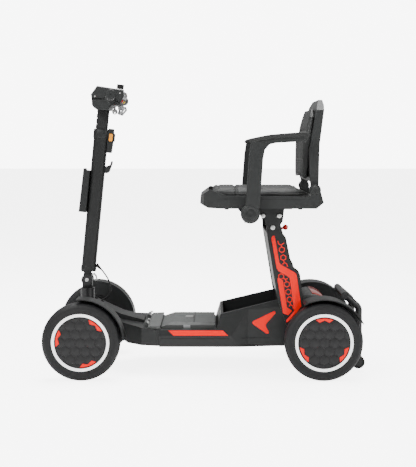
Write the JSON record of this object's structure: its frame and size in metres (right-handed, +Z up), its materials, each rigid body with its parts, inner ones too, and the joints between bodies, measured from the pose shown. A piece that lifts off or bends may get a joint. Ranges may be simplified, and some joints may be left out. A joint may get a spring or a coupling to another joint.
{
  "type": "mobility scooter",
  "caption": "Folding four-wheeled mobility scooter with tiller, flip-back armrests, folding seat, lift-out battery and anti-tip wheels.",
  "frame": {"origin": "on the floor under the middle of the machine", "axes": "+X forward, +Y to the rider's left, +Z up"},
  "size_m": [1.01, 0.5, 0.9166],
  "materials": {
    "charcoal": "satin moulded",
    "deck_grey": "satin moulded",
    "frame_black": "powder coated",
    "tiller_black": "black anodised",
    "tyre": "matt",
    "hub_black": "matt",
    "grip_rubber": "matt",
    "cushion": "soft synthetic leather",
    "steel": "brushed",
    "chrome": "polished",
    "orange": "gloss",
    "red": "gloss",
    "yellow": "gloss",
    "cast": "cast",
    "cable": "matt",
    "cells": "wrapped cells"
  },
  "bodies": {
    "chassis": {"main_frame": "frame_black", "rear_body": "charcoal", "belly_pan": "charcoal", "front_body": "charcoal", "deck_strip": "deck_grey", "transaxle": "cast", "controller": "cast", "motor_cover": "deck_grey", "rear_fenders": "charcoal", "rear_bar": "frame_black", "post_pivots": "steel"},
    "battery": {"battery_case": "deck_grey", "battery_cells": "cells"},
    "battery_latch": {"battery_latch": "steel"},
    "steering": {"steering_column": "tiller_black", "wiring_harness": "cable"},
    "tie_rod": {"tie_rod": "steel"},
    "left_knuckle": {"left_knuckle": "frame_black", "front_left_fender": "charcoal"},
    "right_knuckle": {"right_knuckle": "frame_black", "front_right_fender": "charcoal"},
    "front_left_wheel": {"front_left_tyre": "tyre", "front_left_hub": "hub_black"},
    "front_right_wheel": {"front_right_tyre": "tyre", "front_right_hub": "hub_black"},
    "rear_left_wheel": {"rear_left_tyre": "tyre", "rear_left_hub": "hub_black"},
    "rear_right_wheel": {"rear_right_tyre": "tyre", "rear_right_hub": "hub_black"},
    "tiller": {"tiller_tube": "tiller_black", "fold_bolt": "frame_black", "front_bracket": "charcoal", "bag_hook": "charcoal", "latch_housing": "charcoal"},
    "fold_lever": {"fold_lever": "steel"},
    "latch_button": {"latch_button": "orange"},
    "stem": {"tiller_stem": "tiller_black", "hand_grips": "grip_rubber", "head_upper": "charcoal", "head_lower": "charcoal"},
    "speed_dial": {"speed_dial": "hub_black"},
    "ignition_key": {"ignition_key": "chrome"},
    "throttle_paddle": {"throttle_paddle": "chrome"},
    "red_button": {"red_button": "red"},
    "yellow_button": {"yellow_button": "yellow"},
    "seat_post": {"seat_post": "tiller_black"},
    "lock_knob": {"lock_knob": "red"},
    "seat": {"seat_bracket": "frame_black", "seat_base": "charcoal", "seat_cushion": "cushion"},
    "backrest": {"backrest_shell": "charcoal", "backrest_pad": "cushion"},
    "left_arm_slide": {"left_arm_slide": "frame_black"},
    "right_arm_slide": {"right_arm_slide": "frame_black"},
    "left_armrest": {"left_armrest": "charcoal"},
    "right_armrest": {"right_armrest": "charcoal"},
    "left_arm_knob": {"left_arm_knob": "hub_black"},
    "right_arm_knob": {"right_arm_knob": "hub_black"},
    "left_caster": {"left_caster": "grip_rubber"},
    "right_caster": {"right_caster": "grip_rubber"}
  },
  "joints": [
    {"name": "steering_turn", "type": "hinge", "parent": "chassis", "child": "steering", "pos_m": [0.39, 0, 0.2], "axis": [0, 0, 1], "range_deg": [-30, 30]},
    {"name": "tie_rod_swing", "type": "hinge", "parent": "steering", "child": "tie_rod", "pos_m": [0.34, 0, 0.106], "axis": [0, 0, 1], "range_deg": [-30, 30]},
    {"name": "left_kingpin", "type": "hinge", "parent": "chassis", "child": "left_knuckle", "pos_m": [0.385, 0.168, 0.12], "axis": [0, 0, 1], "range_deg": [-30, 30]},
    {"name": "front_left_spin", "type": "hinge", "parent": "left_knuckle", "child": "front_left_wheel", "pos_m": [0.385, 0.215, 0.12], "axis": [0, 1, 0], "continuous": true},
    {"name": "rear_left_spin", "type": "hinge", "parent": "chassis", "child": "rear_left_wheel", "pos_m": [-0.359, 0.215, 0.12], "axis": [0, 1, 0], "continuous": true},
    {"name": "left_caster_spin", "type": "hinge", "parent": "chassis", "child": "left_caster", "pos_m": [-0.484, 0.088, 0.03], "axis": [0, 1, 0], "continuous": true},
    {"name": "left_arm_width", "type": "slide", "parent": "seat", "child": "left_arm_slide", "axis": [0, 1, 0], "range_m": [0, 0.04]},
    {"name": "left_arm_flip", "type": "hinge", "parent": "left_arm_slide", "child": "left_armrest", "pos_m": [-0.132, 0.241, 0.514], "axis": [0, -1, 0], "range_deg": [0, 90]},
    {"name": "left_arm_clamp", "type": "hinge", "parent": "seat", "child": "left_arm_knob", "pos_m": [-0.132, 0.176, 0.49], "axis": [0, 0, 1], "range_deg": [-180, 180]},
    {"name": "right_kingpin", "type": "hinge", "parent": "chassis", "child": "right_knuckle", "pos_m": [0.385, -0.168, 0.12], "axis": [0, 0, 1], "range_deg": [-30, 30]},
    {"name": "front_right_spin", "type": "hinge", "parent": "right_knuckle", "child": "front_right_wheel", "pos_m": [0.385, -0.215, 0.12], "axis": [0, 1, 0], "continuous": true},
    {"name": "rear_right_spin", "type": "hinge", "parent": "chassis", "child": "rear_right_wheel", "pos_m": [-0.359, -0.215, 0.12], "axis": [0, 1, 0], "continuous": true},
    {"name": "right_caster_spin", "type": "hinge", "parent": "chassis", "child": "right_caster", "pos_m": [-0.484, -0.088, 0.03], "axis": [0, 1, 0], "continuous": true},
    {"name": "right_arm_width", "type": "slide", "parent": "seat", "child": "right_arm_slide", "axis": [0, -1, 0], "range_m": [0, 0.04]},
    {"name": "right_arm_flip", "type": "hinge", "parent": "right_arm_slide", "child": "right_armrest", "pos_m": [-0.132, -0.241, 0.514], "axis": [0, -1, 0], "range_deg": [0, 90]},
    {"name": "right_arm_clamp", "type": "hinge", "parent": "seat", "child": "right_arm_knob", "pos_m": [-0.132, -0.176, 0.49], "axis": [0, 0, 1], "range_deg": [-180, 180]},
    {"name": "tiller_fold", "type": "hinge", "parent": "steering", "child": "tiller", "pos_m": [0.39, 0, 0.285], "axis": [0, 1, 0], "range_deg": [-40, 0], "deforming": ["wiring_harness"]},
    {"name": "stem_height", "type": "slide", "parent": "tiller", "child": "stem", "axis": [-0.1028, 0, 0.9947], "range_m": [-0.034, 0.034]},
    {"name": "fold_lever_swing", "type": "hinge", "parent": "tiller", "child": "fold_lever", "pos_m": [0.36915, 0, 0.30195], "axis": [0, 1, 0], "range_deg": [0, 25]},
    {"name": "latch_press", "type": "slide", "parent": "tiller", "child": "latch_button", "axis": [0, -1, 0], "range_m": [0, 0.003], "stiffness_N_per_m": 600},
    {"name": "speed_dial_turn", "type": "hinge", "parent": "stem", "child": "speed_dial", "pos_m": [0.28, 0, 0.898], "axis": [-0.1564, 0, 0.9877], "range_deg": [-135, 135]},
    {"name": "key_turn", "type": "hinge", "parent": "stem", "child": "ignition_key", "pos_m": [0.297, 0, 0.84], "axis": [0, 0, 1], "range_deg": [0, 90]},
    {"name": "throttle_rock", "type": "hinge", "parent": "stem", "child": "throttle_paddle", "pos_m": [0.279, 0, 0.84], "axis": [0, 0, 1], "range_deg": [-12, 12], "stiffness_Nm_per_rad": 0.6},
    {"name": "red_press", "type": "slide", "parent": "stem", "child": "red_button", "axis": [0.8866, 0, 0.4626], "range_m": [0, 0.002], "stiffness_N_per_m": 400},
    {"name": "yellow_press", "type": "slide", "parent": "stem", "child": "yellow_button", "axis": [0.8866, 0, 0.4626], "range_m": [0, 0.002], "stiffness_N_per_m": 400},
    {"name": "seat_fold", "type": "hinge", "parent": "chassis", "child": "seat_post", "pos_m": [-0.285, 0, 0.13], "axis": [0, 1, 0], "range_deg": [0, 40]},
    {"name": "seat_level", "type": "hinge", "parent": "seat_post", "child": "seat", "pos_m": [-0.205, 0, 0.466], "axis": [0, 1, 0], "range_deg": [-40, 0]},
    {"name": "lock_pull", "type": "slide", "parent": "seat_post", "child": "lock_knob", "axis": [-0.9659, 0, 0.2588], "range_m": [0, 0.008], "stiffness_N_per_m": 400},
    {"name": "backrest_fold", "type": "hinge", "parent": "seat", "child": "backrest", "pos_m": [-0.331, 0, 0.584], "axis": [0, 1, 0], "range_deg": [0, 42]},
    {"name": "battery_lift", "type": "slide", "parent": "chassis", "child": "battery", "axis": [0, 0, -1], "range_m": [-0.12, 0]},
    {"name": "battery_latch_lift", "type": "hinge", "parent": "battery", "child": "battery_latch", "pos_m": [0.068, 0, 0.1613], "axis": [0, 1, 0], "range_deg": [0, 70]}
  ],
  "couplings": [
    {"joint": "tie_rod_swing", "follows": "steering_turn", "ratio": -1},
    {"joint": "left_kingpin", "follows": "steering_turn", "ratio": 1},
    {"joint": "right_kingpin", "follows": "steering_turn", "ratio": 1},
    {"joint": "seat_level", "follows": "seat_fold", "ratio": -1}
  ]
}
